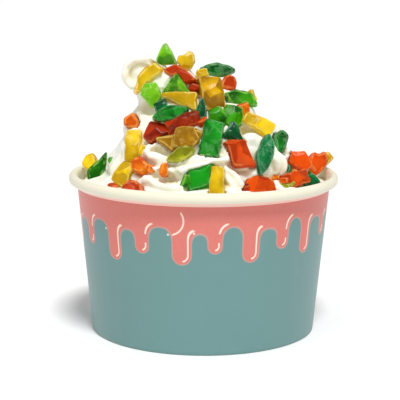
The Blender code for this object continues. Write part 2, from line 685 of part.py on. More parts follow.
cup_wall = make_cup()
soft_serve = make_mound()
soft_serve.name = "soft_serve"
mound_surface = tree_of(soft_serve)
jelly_beds = make_jellies(mound_surface, tree_of(cup_wall))
chip_draw = random.Random(BACK_SEED)
chip_shapes = [chopped(chip, mound_surface, chip_draw)[0] for chip in CHIPS]
filling = disc(BASE_TOP + GAP, FILL_TOP, 1.4 * GAP)
boolean(soft_serve, "UNION", "added", [filling, *chip_shapes])
boolean(soft_serve, "DIFFERENCE", "beds", jelly_beds)
keep_largest_body(soft_serve)
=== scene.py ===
"""A paper cup of soft serve ice cream, strewn with chopped fruit jellies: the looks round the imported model.

Metres, +Z up, and the front faces -Y. The sections follow the order in which the real cup is made and filled.
"""

import math
import random
from collections import Counter

import bmesh
import bpy
from mathutils import Matrix, Vector, noise
from mathutils.bvhtree import BVHTree
from mathutils.kdtree import KDTree


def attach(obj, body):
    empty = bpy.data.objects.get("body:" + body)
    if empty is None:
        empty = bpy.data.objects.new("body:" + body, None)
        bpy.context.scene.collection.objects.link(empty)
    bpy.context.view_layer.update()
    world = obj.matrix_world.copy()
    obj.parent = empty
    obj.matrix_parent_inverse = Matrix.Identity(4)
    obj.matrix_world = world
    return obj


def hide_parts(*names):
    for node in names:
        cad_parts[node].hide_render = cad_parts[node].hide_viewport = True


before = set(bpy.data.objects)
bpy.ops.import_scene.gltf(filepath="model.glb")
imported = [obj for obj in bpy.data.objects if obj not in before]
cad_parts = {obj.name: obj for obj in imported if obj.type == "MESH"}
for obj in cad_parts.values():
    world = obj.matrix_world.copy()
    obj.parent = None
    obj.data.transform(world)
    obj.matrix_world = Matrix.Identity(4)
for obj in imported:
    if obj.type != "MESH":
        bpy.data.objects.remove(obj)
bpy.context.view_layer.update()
bpy.ops.object.select_all(action="DESELECT")
MM = 0.001

# ---- the cup's wall ----
# One sheet of paper board, coated with plastic and printed outside. It is wrapped round a cone and glued
# with an overlap at the back, rolled outward at the top for a lip and folded inward round the base below.

CUP_HEIGHT = 57 * MM
RIM_RADIUS = 48.5 * MM
LIP_WIDTH = 3.1 * MM
LIP_HEIGHT = 3.8 * MM
FOOT_RADIUS = 40.4 * MM
FOOT_ROUND = 0.5 * MM  # of the foot's edges and the fold's
FOLD_HEIGHT = 5.5 * MM
FOLD_THICKNESS = 1.6 * MM
PAPER = 0.5 * MM
INNER_RIM_RADIUS = RIM_RADIUS - LIP_WIDTH
WALL_SLOPE = (INNER_RIM_RADIUS + PAPER - FOOT_RADIUS) / CUP_HEIGHT
LIP_FIRST_ANGLE = -142
LIP_LAST_ANGLE = 180
LIP_STEPS = 28
LIP_CREASE = 0.1 * MM  # the wall ends this far below the lip
WALL_COLUMNS = 384
WALL_ROWS = 62
INSIDE_ROWS = (52, 40, 25, 12, 6.5)  # heights in millimetres
WELD = 0.01 * MM
SMOOTH_UNDER = math.radians(50)

PRINT_RADIUS = 44.4 * MM  # distances along the print are measured round this circle
SEAM_STEP = 0.3 * MM
SEAM_FADE = 9 * MM
FAR = 20 * MM  # the print's distances stop here

# The border's drips are given by their angle from the front, the height of their tip and their width, and the
# arches between them by angle and height, all in degrees and millimetres.
FRONT_DRIPS = (
    (-61.6, 34.8, 4.6), (-43.0, 31.6, 5.6), (-27.7, 35.3, 5.0), (-9.3, 32.2, 6.3), (5.2, 36.2, 4.6),
    (21.3, 32.8, 5.8), (37.2, 36.4, 4.8), (52.2, 33.3, 5.2), (69.0, 37.5, 4.6),
)
FRONT_ARCHES = (
    (-71.2, 43.0), (-53.6, 44.6), (-35.6, 43.1), (-19.6, 44.9), (-2.4, 43.2), (13.6, 45.4), (29.8, 44.0),
    (43.6, 46.6), (58.0, 45.2), (76.5, 45.0),
)
BROKEN_ABOVE = 34 * MM  # a drip whose tip is higher has a gap in its highlight
BREAK_FROM = 3.4 * MM
BREAK_TO = 6.6 * MM
BESIDE_DRIP = 1.3  # of a drip's half width
BACK_DRIPS = 12
FIRST_BACK_DRIP = 86
BACK_DRIP_STEP = 17.7
BACK_DRIP_SHIFT = 2
BACK_DRIP_TIPS = (31.5, 37.5)
BACK_DRIP_HALF_WIDTHS = (2.1, 3.2)
BACK_ARCH_AFTER = 8.5
BACK_ARCHES = (42.2, 45)
BACK_DRIP_SEED = 4
ARCH_ROUNDING = 3.8 * MM
ARCH_SLANT = 0.9  # the arches' edges run aslant, so they are nearer than straight above
BORDER_TOP = 52 * MM
BORDER_BOTTOM = 28 * MM
LEAN_STEP = 0.4 * MM


def wall_radius(height):
    """Outside of the wall."""
    return FOOT_RADIUS + WALL_SLOPE * height


def turned(name, profile, columns):
    """A closed piece of rings that follow a profile of (radius, height)."""
    bpy.ops.object.select_all(action="DESELECT")
    bpy.ops.mesh.primitive_circle_add(vertices=columns, radius=profile[0][0], location=(0, 0, profile[0][1]))
    piece = bpy.context.object
    piece.name = piece.data.name = name
    bpy.ops.object.transform_apply(location=True)
    bpy.ops.object.mode_set(mode="EDIT")
    bpy.ops.mesh.select_all(action="SELECT")
    for (radius, height), (next_radius, next_height) in zip(profile, (*profile[1:], profile[0])):
        rise = {"value": (0, 0, next_height - height)}
        bpy.ops.mesh.extrude_edges_move(TRANSFORM_OT_translate=rise)
        widening = next_radius / radius
        bpy.ops.transform.resize(value=(widening, widening, 1), center_override=(0, 0, next_height))
    bpy.ops.mesh.select_all(action="SELECT")
    bpy.ops.mesh.remove_doubles(threshold=WELD)
    bpy.ops.mesh.normals_make_consistent(inside=False)
    bpy.ops.object.mode_set(mode="OBJECT")
    bpy.ops.object.shade_smooth_by_angle(angle=SMOOTH_UNDER)
    return piece


def lip_points():
    """The lip's outline, from the crease where it meets the wall, over the top and in."""
    for step in range(LIP_STEPS + 1):
        angle = math.radians(LIP_FIRST_ANGLE + (LIP_LAST_ANGLE - LIP_FIRST_ANGLE) * step / LIP_STEPS)
        radius = RIM_RADIUS - LIP_WIDTH / 2 + LIP_WIDTH / 2 * math.cos(angle)
        yield radius, CUP_HEIGHT - LIP_HEIGHT / 2 + LIP_HEIGHT / 2 * math.sin(angle)


lip = list(lip_points())
wall_top = lip[0][1] - LIP_CREASE
fold_radius = FOOT_RADIUS - FOLD_THICKNESS
corner_cut = FOOT_ROUND * 0.3
wall_profile = [
    (fold_radius + FOOT_ROUND, 0), (FOOT_RADIUS - FOOT_ROUND, 0), (FOOT_RADIUS - corner_cut, corner_cut),
]
for row in range(WALL_ROWS + 1):
    height = FOOT_ROUND + (wall_top - FOOT_ROUND) * row / WALL_ROWS
    wall_profile.append((wall_radius(height), height))
wall_profile += lip
wall_profile += [(wall_radius(height * MM) - PAPER, height * MM) for height in INSIDE_ROWS]
wall_profile += [
    (fold_radius + FOOT_ROUND, FOLD_HEIGHT),
    (fold_radius, FOLD_HEIGHT - FOOT_ROUND),
    (fold_radius, FOOT_ROUND),
]
cup = turned("cup_sheet", wall_profile, WALL_COLUMNS)

drips = [(math.radians(angle) * PRINT_RADIUS, tip * MM, width / 2 * MM) for angle, tip, width in FRONT_DRIPS]
arches = [(math.radians(angle) * PRINT_RADIUS, top * MM) for angle, top in FRONT_ARCHES]
drip_draw = random.Random(BACK_DRIP_SEED)
for index in range(BACK_DRIPS):
    angle = FIRST_BACK_DRIP + BACK_DRIP_STEP * index + drip_draw.uniform(-BACK_DRIP_SHIFT, BACK_DRIP_SHIFT)
    tip = drip_draw.uniform(*BACK_DRIP_TIPS)
    half_width = drip_draw.uniform(*BACK_DRIP_HALF_WIDTHS)
    drips.append((math.radians(angle) * PRINT_RADIUS, tip * MM, half_width * MM))
    top = drip_draw.uniform(*BACK_ARCHES)
    arches.append((math.radians(angle + BACK_ARCH_AFTER) * PRINT_RADIUS, top * MM))
print_length = math.tau * PRINT_RADIUS


def nearest_way(place, centre):
    """Distance round the print, the short way."""
    return (place - centre + print_length / 2) % print_length - print_length / 2


def arch_height(place):
    """Height of the band's lower edge where no drip hangs from it."""
    around = sorted((nearest_way(place, centre), top) for centre, top in arches)
    after = next((pair for pair in around if pair[0] >= 0), None)
    before = next((pair for pair in reversed(around) if pair[0] < 0), None)
    if not after or not before:
        return (after or before)[1]
    share = -before[0] / (after[0] - before[0])
    share = share * share * (3 - 2 * share)
    return before[1] + (after[1] - before[1]) * share


def smaller(first, second, rounding):
    """The smaller of two distances, with a rounded change from one to the other."""
    near = max(rounding - abs(first - second), 0) / rounding
    return min(first, second) - near * near * rounding / 4


def border_distance(place, height):
    """How far below the pink border a point of the print lies, in metres. It is negative inside."""
    band = (arch_height(place) - height) * ARCH_SLANT
    for centre, tip, half in drips:
        aside = abs(nearest_way(place, centre))
        if aside > half + 2 * ARCH_ROUNDING:
            continue
        below = max(tip + half - height, 0)
        band = smaller(band, math.hypot(aside, below) - half, ARCH_ROUNDING)
    return band


print_edge = cup.data.attributes.new("print_edge", "FLOAT", "POINT")
print_side = cup.data.attributes.new("print_side", "FLOAT", "POINT")
seam_edge = cup.data.attributes.new("seam_edge", "FLOAT", "POINT")
for vert in cup.data.vertices:
    reach = math.hypot(vert.co.x, vert.co.y)
    place = math.atan2(vert.co.x, -vert.co.y) * PRINT_RADIUS
    height = vert.co.z
    outside = reach > wall_radius(height) - PAPER / 2 and height < wall_top + WELD
    from_seam = nearest_way(place, print_length / 2)
    seam_edge.data[vert.index].value = from_seam / MM if outside else FAR / MM
    if outside and 0 <= from_seam < SEAM_FADE and height > FOOT_ROUND:
        raised = SEAM_STEP * (1 - from_seam / SEAM_FADE)
        vert.co.x *= 1 + raised / reach
        vert.co.y *= 1 + raised / reach
    edge = -FAR
    lean = 0
    if outside and height < BORDER_BOTTOM:
        edge = FAR
    elif outside and height < BORDER_TOP:
        edge = border_distance(place, height)
        lean = (border_distance(place + LEAN_STEP, height) - edge) / LEAN_STEP
        for centre, tip, half in drips:
            beside = abs(nearest_way(place, centre)) < half * BESIDE_DRIP
            if beside and tip > BROKEN_ABOVE and BREAK_FROM < height - tip < BREAK_TO:
                lean = 0
    print_edge.data[vert.index].value = edge / MM
    print_side.data[vert.index].value = lean


class Tint:
    """A number or a colour on its way through a material's nodes. Sums and products of it add Math nodes."""

    def __init__(self, finish, socket):
        self.finish = finish
        self.socket = socket

    def maths(self, operation, first, second):
        return self.finish.node("Math", {"operation": operation}, {0: first, 1: second})

    def __add__(self, other):
        return self.maths("ADD", self, other)

    def __radd__(self, other):
        return self.maths("ADD", other, self)

    def __sub__(self, other):
        return self.maths("SUBTRACT", self, other)

    def __rsub__(self, other):
        return self.maths("SUBTRACT", other, self)

    def __mul__(self, other):
        return self.maths("MULTIPLY", self, other)

    def __rmul__(self, other):
        return self.maths("MULTIPLY", other, self)

    def __abs__(self):
        return self.maths("ABSOLUTE", self, 0)


# Where a Mix node keeps its share and its two colours, and the colour that it gives.
MIX_SHARE, MIX_FIRST, MIX_SECOND, MIX_COLOUR = 0, 6, 7, 2


class Finish:
    """A material: its Principled shader, and the one way in which nodes are added to it."""

    def __init__(self, name, **settings):
        self.material = bpy.data.materials.new(name)
        self.material.use_nodes = True
        self.nodes = self.material.node_tree.nodes
        self.shader = self.nodes["Principled BSDF"]
        for socket, value in settings.items():
            self.shader.inputs[socket.replace("_", " ")].default_value = value

    def node(self, kind, settings, sockets, output=0):
        """One node, with its settings made first and then its sockets filled with values or links."""
        made = self.nodes.new("ShaderNode" + kind)
        for setting, value in settings.items():
            setattr(made, setting, value)
        for socket, value in sockets.items():
            if isinstance(value, Tint):
                self.material.node_tree.links.new(value.socket, made.inputs[socket])
            else:
                made.inputs[socket].default_value = value
        return Tint(self, made.outputs[output])

    def attribute(self, name):
        """A number that the mesh carries."""
        return self.node("Attribute", {"attribute_name": name}, {}, "Fac")

    def place(self):
        """Where the point is on the object, in metres."""
        return self.node("TexCoord", {}, {}, "Object")

    def from_point(self, point):
        """How far the point is from another one, in metres."""
        return self.node("VectorMath", {"operation": "DISTANCE"}, {0: self.place(), 1: point}, "Value")

    def cloudy(self, size, detail=2, roughness=0.5):
        """Soft noise from 0 to 1, with patches about as large as size."""
        sockets = {"Vector": self.place(), "Scale": 1 / size, "Detail": detail, "Roughness": roughness}
        return self.node("TexNoise", {}, sockets, "Fac")

    def ramped(self, value, none, full):
        """A share that rises smoothly from 0, where the value is none, to 1, where it is full."""
        sockets = {"Value": value, "From Min": none, "From Max": full, "To Min": 0, "To Max": 1}
        return self.node("MapRange", {"interpolation_type": "SMOOTHSTEP"}, sockets, "Result")

    def over(self, value, limit, softness):
        """1 where the value is over the limit and 0 where it is under it."""
        return self.ramped(value, limit - softness, limit + softness)

    def under(self, value, limit, softness):
        """1 where the value is under the limit and 0 where it is over it."""
        return self.ramped(value, limit + softness, limit - softness)

    def mixed(self, share, first, second):
        """Between two colours, by a share from 0 to 1."""
        ends = [colour if isinstance(colour, Tint) else (*colour, 1) for colour in (first, second)]
        sockets = {MIX_SHARE: share, MIX_FIRST: ends[0], MIX_SECOND: ends[1]}
        return self.node("Mix", {"data_type": "RGBA", "clamp_factor": True}, sockets, MIX_COLOUR)

    def feed(self, socket, value):
        """Link a value that varies over the surface to the shader."""
        self.material.node_tree.links.new(value.socket, self.shader.inputs[socket])

    def bump(self, height, distance, strength=1):
        """Relief too fine for the mesh. height is from 0 to 1 and distance is its depth."""
        sockets = {"Height": height, "Distance": distance, "Strength": strength}
        self.feed("Normal", self.node("Bump", {}, sockets))


def screen(red, green, blue):
    """A colour as a screen shows it (0 to 255), in the linear numbers that shaders use."""
    shares = [channel / 255 for channel in (red, green, blue)]
    return tuple(((share + 0.055) / 1.055) ** 2.4 if share > 0.04045 else share / 12.92 for share in shares)


def dress(piece, finish, slot, *nodes):
    """Give a finished piece its material, hang it on the root body, and hide the parts that it stands for."""
    piece.data.materials.clear()
    piece.data.materials.append(finish.material)
    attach(piece, "root")
    if nodes:
        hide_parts(*nodes)


TEAL = screen(109, 150, 149)
TEAL_WORN = screen(99, 140, 138)
CORAL = screen(218, 112, 102)
CORAL_PALE = screen(228, 160, 146)
HIGHLIGHT = screen(255, 226, 210)
BARE_PAPER = screen(234, 230, 208)
OUTLINE_OUTSIDE = 0.1  # these sizes are millimetres, as the cup's print_edge attribute is
OUTLINE_HALF_WIDTH = 0.245
OUTLINE_SOFTNESS = 0.105
PRINT_SOFTNESS = 0.06
HIGHLIGHT_INSET = 1.05
HIGHLIGHT_HALF_WIDTH = 0.27
HIGHLIGHT_SOFTNESS = 0.08
SEAM_LINE_PLACE = -0.15
SEAM_LINE_HALF_WIDTH = 0.225
SEAM_LINE_SOFTNESS = 0.075
PINK_PAPER = screen(255, 222, 208)
PRINT_TOP = 52.15 * MM
HOOK_RADIUS = 4.9 * MM
HOOK_HALF_WIDTH = 0.3 * MM
HOOK_PLACE = (-14.6, 47.2)  # a hooked stroke above the widest drip: angle from the front and height
HOOK_LEAN = math.radians(21.5)
HOOK_CHORD = 2.63 * MM
DOT_RADIUS = 0.36 * MM
DOT_PLACES = ((-48.3, 41.8), (-15.2, 42.4), (-3.9, 43.1))


def on_print(angle, height):
    """A point of the print, by its angle from the front and its height in millimetres."""
    turn = math.radians(angle)
    reach = wall_radius(height * MM)
    return Vector((reach * math.sin(turn), -reach * math.cos(turn), height * MM))


printed = Finish("printed_paper_board", Roughness=0.42, Coat_Weight=0.12, Coat_Roughness=0.3, IOR=1.45)
edge = printed.attribute("print_edge")
in_border = printed.under(edge, 0, PRINT_SOFTNESS)
outline = printed.under(abs(edge - OUTLINE_OUTSIDE), OUTLINE_HALF_WIDTH, OUTLINE_SOFTNESS)
stroke = printed.under(abs(edge + HIGHLIGHT_INSET), HIGHLIGHT_HALF_WIDTH, HIGHLIGHT_SOFTNESS)
facing_right = printed.ramped(printed.attribute("print_side"), 0.12, 0.3)
height = printed.node("SeparateXYZ", {}, {"Vector": printed.place()}, "Z")
ink = printed.cloudy(1.1 * MM, detail=3, roughness=0.6)
wear = printed.cloudy(14 * MM, detail=4, roughness=0.55)
ground = printed.mixed(wear * 0.5 + ink * 0.2, TEAL, TEAL_WORN)
border = printed.mixed(ink * 0.3, CORAL, CORAL_PALE)
colour = printed.mixed(in_border, ground, border)
colour = printed.mixed(outline * 0.45, colour, CORAL_PALE)
colour = printed.mixed(stroke * facing_right, colour, HIGHLIGHT)

hook_turn = math.radians(HOOK_PLACE[0])
level = math.cos(HOOK_LEAN)
hook_side = Vector((level * math.cos(hook_turn), level * math.sin(hook_turn), -math.sin(HOOK_LEAN)))
hook_centre = on_print(*HOOK_PLACE)
beyond = printed.node("VectorMath", {"operation": "DOT_PRODUCT"}, {0: printed.place(), 1: hook_side}, "Value")
past_chord = printed.over(beyond - hook_centre.dot(hook_side), HOOK_CHORD, 0.2 * MM)
hook = printed.under(abs(printed.from_point(hook_centre) - HOOK_RADIUS), HOOK_HALF_WIDTH, 0.1 * MM)
colour = printed.mixed(hook * past_chord * 0.9, colour, HIGHLIGHT)
for dot in DOT_PLACES:
    in_dot = printed.under(printed.from_point(on_print(*dot)), DOT_RADIUS, 0.15 * MM)
    colour = printed.mixed(in_dot * 0.9, colour, HIGHLIGHT)
under_roll = printed.over(height, PRINT_TOP, 0.08 * MM)
colour = printed.mixed(under_roll * 0.9, colour, PINK_PAPER)

level_place = printed.node("VectorMath", {"operation": "MULTIPLY"}, {0: printed.place(), 1: (1, 1, 0)})
reach = printed.node("VectorMath", {"operation": "LENGTH"}, {0: level_place}, "Value")
bare = printed.over(height, wall_top - 0.3 * MM, 0.05 * MM)
inside = printed.under(reach - height * WALL_SLOPE, FOOT_RADIUS - PAPER / 2, PAPER * 0.1)
seam = printed.under(
    abs(printed.attribute("seam_edge") - SEAM_LINE_PLACE), SEAM_LINE_HALF_WIDTH, SEAM_LINE_SOFTNESS
)
under_foot = printed.under(height, 0.06 * MM, 0.04 * MM)
for unprinted in (inside, seam * 0.8, under_foot):
    bare = printed.node("Math", {"operation": "MAXIMUM"}, {0: bare, 1: unprinted})
colour = printed.mixed(bare, colour, BARE_PAPER)
printed.feed("Base Color", colour)
printed.feed("Roughness", 0.36 + wear * 0.12)
printed.bump(printed.cloudy(0.9 * MM, detail=3) * 0.5 + printed.cloudy(6 * MM), 0.05 * MM, 0.5)
dress(cup, printed, "printed_paper", "cup_wall")

# ---- the cup's base ----
# A flat disc of the same board, unprinted. It lies on the wall's fold, where it is glued, and carries the
# ice cream.

BASE_BOTTOM = 5.8 * MM
BASE_TOP = 6.3 * MM
BASE_RADIUS = 40.1 * MM
BASE_MIDDLE = 0.4 * MM  # the disc is open this far round its axis, under the ice cream
ROUND_COLUMNS = 96
PALE_PAPER = screen(240, 234, 214)
base_profile = [
    (BASE_MIDDLE, BASE_BOTTOM), (BASE_RADIUS, BASE_BOTTOM), (BASE_RADIUS, BASE_TOP), (BASE_MIDDLE, BASE_TOP),
]
base = turned("cup_base_disc", base_profile, ROUND_COLUMNS)
plain = Finish("plain_paper_board", Roughness=0.5, Coat_Weight=0.1, Coat_Roughness=0.35)
plain.feed("Base Color", plain.mixed(plain.cloudy(2 * MM, detail=3), BARE_PAPER, PALE_PAPER))
plain.bump(plain.cloudy(0.8 * MM, detail=3), 0.04 * MM, 0.5)
dress(base, plain, "plain_paper", "cup_base")

# ---- the ice cream ----
# Soft serve that a nozzle pressed out: it fills the cup to a pool under the rim, climbs above it as one
# thick rope wound round, and ends in a tip that fell over to the left. Its turns have half melted together.

POOL_LEVEL = CUP_HEIGHT - 4 * MM
POOL_CROWN = 6 * MM
FILL_TOP = POOL_LEVEL - 3 * MM
POOL_DEPTH = 3 * MM
GAP = 0.3 * MM
FILLING_GAP = 0.42 * MM
AXIS = 0.1 * MM  # what is turned ends this close to its axis
SWIRL_LEAN = -0.25
SWIRL_STEP_ANGLE = 6
# The rope's turn in degrees, its height above the rim, its distance from the axis and its own radius.
SWIRL_STAGES = (
    (60, -3 * MM, 22.0 * MM, 12.0 * MM),
    (180, 1 * MM, 22.0 * MM, 12.5 * MM),
    (360, 7 * MM, 20.0 * MM, 12.0 * MM),
    (540, 13 * MM, 14.5 * MM, 11.2 * MM),
    (720, 19.5 * MM, 13.0 * MM, 10.2 * MM),
    (900, 27 * MM, 7.0 * MM, 9.6 * MM),
    (1020, 32 * MM, 2.5 * MM, 7.4 * MM),
)
FLUTES = 7
FLUTE_POINTS = 8
FLUTE_DEPTH = 0.05
FLUTE_TWIST = 0.8
CORE_HEIGHT = 30 * MM
CORE_RADIUS = 13 * MM
CURL_CENTRE = Vector((-22.4 * MM, -6 * MM, CUP_HEIGHT + 35.2 * MM))
CURL_START_ANGLE = -75
CURL_END_ANGLE = 390
CURL_LOOP_RADIUS = (8.5 * MM, 4.4 * MM, 3.9 * MM, 3.2 * MM, 1.2 * MM)
CURL_ROPE_RADIUS = (7.0 * MM, 3.3 * MM, 2.6 * MM, 2.3 * MM, 1.8 * MM)
CURL_DRIFT = 4 * MM
CURL_STEPS = 60
WHORL_SHIFT = Vector((0.6 * MM, 2.6 * MM, 0.3 * MM))  # the curl's closed middle
WHORL_RADIUS = 3.3 * MM
CREAM_VOXEL = 0.52 * MM
# Folds in which the rope lies on itself: their radius, and a line of the view in its pixels.
FOLDS = (
    (1.5 * MM, ((176, 150), (166, 146), (154, 146), (148, 151), (153, 156), (164, 158), (176, 156))),
    (2.6 * MM, ((150, 170), (164, 169), (182, 167), (200, 164), (220, 160), (236, 153))),
    (2.2 * MM, ((184, 171), (188, 179), (193, 188))),
    (3.0 * MM, ((133, 188), (141, 180), (149, 179), (158, 184), (170, 188), (184, 190))),
    (2.2 * MM, ((236, 130), (245, 124), (253, 126), (259, 134))),
    (2.4 * MM, ((243, 143), (252, 140), (262, 146), (266, 156))),
    (3.0 * MM, ((273, 156), (277, 165), (274, 175))),
    (2.6 * MM, ((284, 149), (290, 160), (288, 174))),
    (2.6 * MM, ((224, 168), (232, 180), (242, 188))),
    (2.4 * MM, ((246, 168), (256, 175), (268, 179))),
)
FOLD_STEPS = 8
FOLD_END = 0.5  # of its radius, at a fold's ends
FOLD_TAPER = 0.11  # of its radius, from one step to the next

# The viewer's eye, which the lines of the view start from.
EYE_DISTANCE = 459.1 * MM
EYE_HEIGHT = 128.4 * MM
EYE_PITCH = math.radians(10.12)
EYE_ROLL = math.radians(0.33)
FOCAL_PIXELS = 1284.4
PHOTO_SIZE = 400
PHOTO_CENTRE_X = 203.4
PHOTO_CENTRE_Y = 200.0


def between(stops, place):
    """The row of values that belongs to place, from rows that start with their own place."""
    for low, high in zip(stops, stops[1:]):
        if place <= high[0]:
            share = (place - low[0]) / (high[0] - low[0])
            return [first + (last - first) * share for first, last in zip(low[1:], high[1:])]
    return list(stops[-1][1:])


def cream_rope(points, radii, nozzle):
    """A rope of cream along points, as thick as radii say."""
    line = bpy.data.curves.new("rope", "CURVE")
    line.dimensions = "3D"
    line.bevel_mode = "OBJECT"
    line.bevel_object = nozzle
    line.use_fill_caps = True
    line.twist_mode = "MINIMUM"
    spline = line.splines.new("POLY")
    spline.points.add(len(points) - 1)
    for index, (point, radius) in enumerate(zip(points, radii)):
        spline.points[index].co = (*point, 1)
        spline.points[index].radius = radius
        spline.points[index].tilt = FLUTE_TWIST * index * math.radians(SWIRL_STEP_ANGLE)
    piece = bpy.data.objects.new("rope", line)
    bpy.context.scene.collection.objects.link(piece)
    bpy.ops.object.select_all(action="DESELECT")
    piece.select_set(True)
    bpy.context.view_layer.objects.active = piece
    bpy.ops.object.convert(target="MESH")
    return bpy.context.object


def nozzle_outline():
    """The star-shaped nozzle, of radius 1, as a closed curve."""
    star = bpy.data.curves.new("nozzle", "CURVE")
    spline = star.splines.new("POLY")
    count = FLUTES * FLUTE_POINTS
    spline.points.add(count - 1)
    for index in range(count):
        angle = math.tau * index / count
        radius = 1 + FLUTE_DEPTH * math.cos(FLUTES * angle)
        spline.points[index].co = (radius * math.cos(angle), radius * math.sin(angle), 0, 1)
    spline.use_cyclic_u = True
    outline_curve = bpy.data.objects.new("nozzle", star)
    bpy.context.scene.collection.objects.link(outline_curve)
    return outline_curve


def modified(piece, kind, **settings):
    """Put one modifier on a piece and apply it."""
    bpy.ops.object.select_all(action="DESELECT")
    piece.select_set(True)
    bpy.context.view_layer.objects.active = piece
    step = piece.modifiers.new(kind, kind)
    for setting, value in settings.items():
        setattr(step, setting, value)
    bpy.ops.object.modifier_apply(modifier=step.name)
    return piece


def melted(pieces, smoothing):
    """Several shapes joined and made one smooth skin."""
    bpy.ops.object.select_all(action="DESELECT")
    for piece in pieces:
        piece.select_set(True)
    bpy.context.view_layer.objects.active = pieces[0]
    bpy.ops.object.join()
    whole = bpy.context.object
    modified(whole, "REMESH", mode="VOXEL", voxel_size=CREAM_VOXEL, use_smooth_shade=True)
    return modified(whole, "SMOOTH", iterations=smoothing)


def sight_line(photo_x, photo_y):
    """The viewer's eye, and the direction from it through a point of the view."""
    across = photo_x - PHOTO_CENTRE_X
    down = photo_y - PHOTO_CENTRE_Y
    level_across = across * math.cos(EYE_ROLL) + down * math.sin(EYE_ROLL)
    level_down = down * math.cos(EYE_ROLL) - across * math.sin(EYE_ROLL)
    forward = Vector((0, math.cos(EYE_PITCH), -math.sin(EYE_PITCH)))
    up = Vector((0, math.sin(EYE_PITCH), math.cos(EYE_PITCH)))
    direction = forward * FOCAL_PIXELS + Vector((level_across, 0, 0)) - up * level_down
    return Vector((0, -EYE_DISTANCE, EYE_HEIGHT)), direction.normalized()


def skin_of(piece):
    """A piece's surface, to find points on."""
    return BVHTree.FromPolygons(
        [vert.co.copy() for vert in piece.data.vertices],
        [tuple(face.vertices) for face in piece.data.polygons],
    )


def seen_on(skin, photo_x, photo_y):
    """Where a sight line meets the skin, or passes nearest to it."""
    eye, line = sight_line(photo_x, photo_y)
    hit = skin.ray_cast(eye, line)[0]
    if hit:
        return hit
    reaches = [EYE_DISTANCE + step * MM for step in range(-60, 61)]
    return min((eye + line * reach for reach in reaches), key=lambda at: skin.find_nearest(at)[3])


nozzle = nozzle_outline()
points, radii = [], []
for angle in range(SWIRL_STAGES[0][0], SWIRL_STAGES[-1][0] + 1, SWIRL_STEP_ANGLE):
    climbed, ring, radius = between(SWIRL_STAGES, angle)
    turn = math.radians(angle)
    aside = SWIRL_LEAN * max(0, climbed)
    points.append(Vector((aside + ring * math.cos(turn), ring * math.sin(turn), CUP_HEIGHT + climbed)))
    radii.append(radius)
swirl = cream_rope(points, radii, nozzle)

points, radii = [], []
last_loop = len(CURL_LOOP_RADIUS) - 1
loops = [
    (index / last_loop, loop, radius)
    for index, (loop, radius) in enumerate(zip(CURL_LOOP_RADIUS, CURL_ROPE_RADIUS))
]
for step in range(CURL_STEPS + 1):
    share = step / CURL_STEPS
    loop, radius = between(loops, share)
    turn = math.radians(CURL_START_ANGLE + (CURL_END_ANGLE - CURL_START_ANGLE) * share)
    points.append(CURL_CENTRE + Vector((loop * math.cos(turn), CURL_DRIFT * share, loop * math.sin(turn))))
    radii.append(radius)
curl = cream_rope(points, radii, nozzle)

pool_edge = wall_radius(POOL_LEVEL) - PAPER - GAP
pool_foot = FILL_TOP - POOL_DEPTH
pool_profile = [
    (AXIS, pool_foot), (pool_edge - 0.8 * MM, pool_foot), (pool_edge, POOL_LEVEL),
    (pool_edge * 0.9, POOL_LEVEL + POOL_CROWN / 3), (pool_edge * 0.75, POOL_LEVEL + POOL_CROWN * 0.7),
    (AXIS, POOL_LEVEL + POOL_CROWN),
]
pool = turned("pool", pool_profile, ROUND_COLUMNS)
core_profile = [
    (AXIS, CUP_HEIGHT), (CORE_RADIUS, CUP_HEIGHT), (CORE_RADIUS / 3, CUP_HEIGHT + CORE_HEIGHT),
    (AXIS, CUP_HEIGHT + CORE_HEIGHT),
]
core = turned("core", core_profile, 32)
for vert in core.data.vertices:
    vert.co.x += SWIRL_LEAN * CORE_HEIGHT / 2
bpy.ops.object.select_all(action="DESELECT")
whorl_place = CURL_CENTRE + WHORL_SHIFT
bpy.ops.mesh.primitive_uv_sphere_add(segments=24, ring_count=12, radius=WHORL_RADIUS, location=whorl_place)
whorl = bpy.context.object
bpy.ops.object.transform_apply(location=True)
mound = melted([swirl, curl, pool, core, whorl], 3)
skin = skin_of(mound)
folds = []
for radius, photo_points in FOLDS:
    stops = [(index, *seen_on(skin, x, y)) for index, (x, y) in enumerate(photo_points)]
    count = FOLD_STEPS * (len(stops) - 1)
    line = [Vector(between(stops, step / FOLD_STEPS)) for step in range(count + 1)]
    ends = [min(1, FOLD_END + FOLD_TAPER * min(step, count - step)) for step in range(count + 1)]
    folds.append(cream_rope(line, [radius * end for end in ends], nozzle))
mound = melted([mound, *folds], 2)
mound.name = mound.data.name = "ice_cream_swirl"
bpy.data.objects.remove(nozzle)

# Slow waves in the skin, which fade out at the pool's edge.
WAVE = 0.7 * MM
WAVE_LENGTH = 11 * MM
WAVE_FADE = 3 * MM
normals = [vert.normal.copy() for vert in mound.data.vertices]
for vert, normal in zip(mound.data.vertices, normals):
    above = min(1, max(0, (vert.co.z - POOL_LEVEL) / WAVE_FADE))
    vert.co += normal * noise.noise(vert.co / WAVE_LENGTH) * WAVE * above
